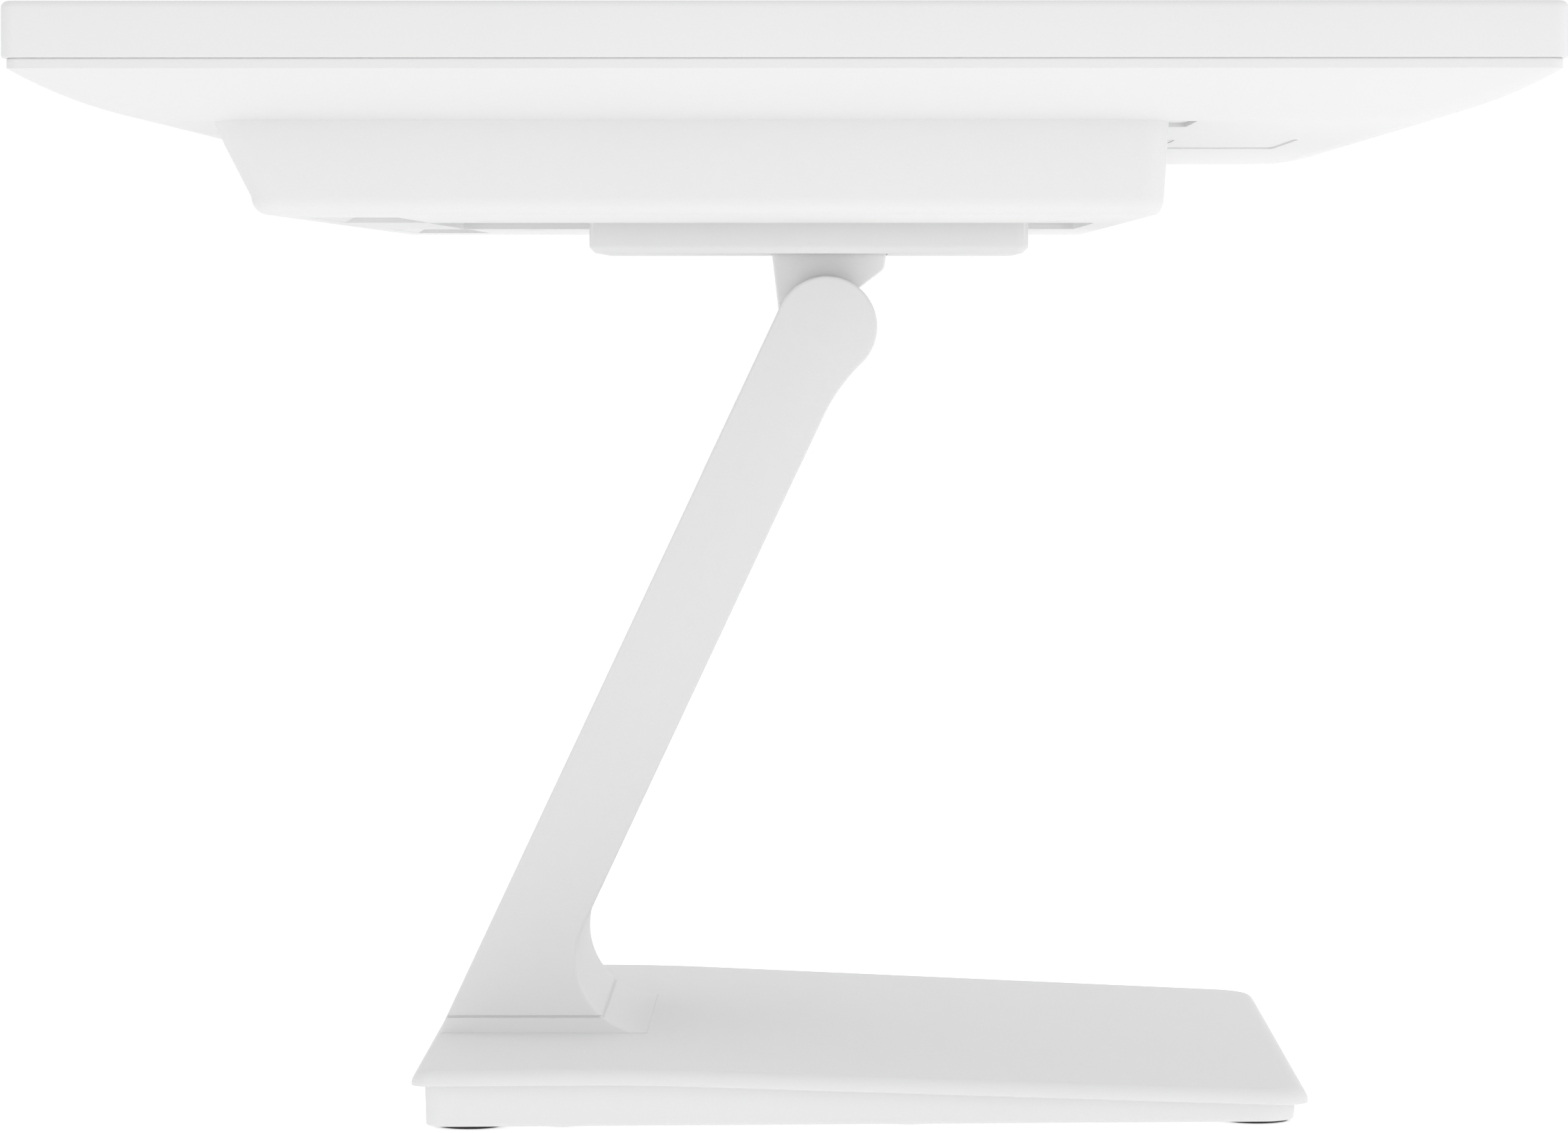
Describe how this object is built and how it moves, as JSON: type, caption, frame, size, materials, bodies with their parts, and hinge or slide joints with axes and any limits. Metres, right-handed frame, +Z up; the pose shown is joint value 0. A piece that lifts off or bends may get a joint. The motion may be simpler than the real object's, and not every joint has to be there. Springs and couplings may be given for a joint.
{
  "type": "video magnifier",
  "caption": "Desktop video magnifier: a large flat display head with an underside camera, on a tilting friction hinge, a leaning neck and a weighted wedge base.",
  "frame": {"origin": "centre of the bounding box's footprint, at desk level under the feet", "axes": "+Z up; X along the screen's long side; the reader sits towards -Y, and the screen faces up at rest"},
  "size_m": [0.574, 0.3554, 0.2772],
  "materials": {
    "shell_white": "fine satin",
    "screen_glass": "polished, dark behind",
    "clear_glass": "coated lens",
    "black_plastic": "matt",
    "key_grey": "satin",
    "white_sheet": "diffusing sheet",
    "foam": "closed cell foam",
    "rubber": "matt",
    "steel": "zinc plated sheet",
    "screw_steel": "zinc plated",
    "connector_metal": "nickel plated",
    "bracket_paint": "fine texture, silver grey",
    "weight_iron": "black paint on steel plate",
    "sink_aluminium": "extruded",
    "board": "solder resist",
    "lamp": "lens resin"
  },
  "bodies": {
    "stand": {"neck_housing": "shell_white", "neck_rear_cover": "shell_white", "neck_core": "steel", "neck_bolts": "screw_steel", "base_cover": "shell_white", "base_tray": "shell_white", "base_weight": "weight_iron", "base_screws": "screw_steel", "rubber_feet": "rubber"},
    "display": {"front_frame": "shell_white", "cover_glass": "screen_glass", "glass_gasket": "foam", "lcd_cell": "black_plastic", "light_guide": "white_sheet", "backlight_bar": "lamp", "panel_tray": "steel", "chassis_plate": "steel", "rear_cover": "shell_white", "electronics_housing": "shell_white", "port_bay": "shell_white", "port_connectors": "connector_metal", "main_board": "board", "board_chips": "black_plastic", "heat_sink": "sink_aluminium", "power_board": "board", "power_parts": "black_plastic", "speakers": "black_plastic", "panel_cable": "black_plastic", "standoffs": "steel", "control_board": "board", "key_switches": "black_plastic", "camera_window": "black_plastic", "camera_housing": "black_plastic", "camera_board": "board", "lens_barrel": "black_plastic", "lens_glass": "clear_glass", "light_boards": "board", "light_leds": "lamp", "chassis_screws": "screw_steel", "housing_screws": "screw_steel", "mount_cover": "shell_white", "mount_plate": "steel", "mount_screws": "screw_steel", "hinge_bracket": "bracket_paint", "bracket_screws": "screw_steel", "hinge_pin": "steel", "hinge_nuts": "screw_steel", "friction_washers": "steel", "spring_washers": "steel"},
    "power": {"power_key": "key_grey"},
    "light": {"light_key": "key_grey"},
    "zoom_out": {"zoom_out_key": "key_grey"},
    "zoom_in": {"zoom_in_key": "key_grey"},
    "mode": {"mode_key": "key_grey"}
  },
  "joints": [
    {"name": "display_tilt", "type": "hinge", "parent": "stand", "child": "display", "pos_m": [0, -0.0088, 0.2022], "axis": [1, 0, 0], "range_deg": [0, 90]},
    {"name": "power_press", "type": "slide", "parent": "display", "child": "power", "axis": [0, 0, -1], "range_m": [0, 0.0008], "stiffness_N_per_m": 500, "springref_m": -0.001},
    {"name": "light_press", "type": "slide", "parent": "display", "child": "light", "axis": [0, 0, -1], "range_m": [0, 0.0008], "stiffness_N_per_m": 500, "springref_m": -0.001},
    {"name": "zoom_out_press", "type": "slide", "parent": "display", "child": "zoom_out", "axis": [0, 0, -1], "range_m": [0, 0.0008], "stiffness_N_per_m": 500, "springref_m": -0.001},
    {"name": "zoom_in_press", "type": "slide", "parent": "display", "child": "zoom_in", "axis": [0, 0, -1], "range_m": [0, 0.0008], "stiffness_N_per_m": 500, "springref_m": -0.001},
    {"name": "mode_press", "type": "slide", "parent": "display", "child": "mode", "axis": [0, 0, -1], "range_m": [0, 0.0008], "stiffness_N_per_m": 500, "springref_m": -0.001}
  ]
}
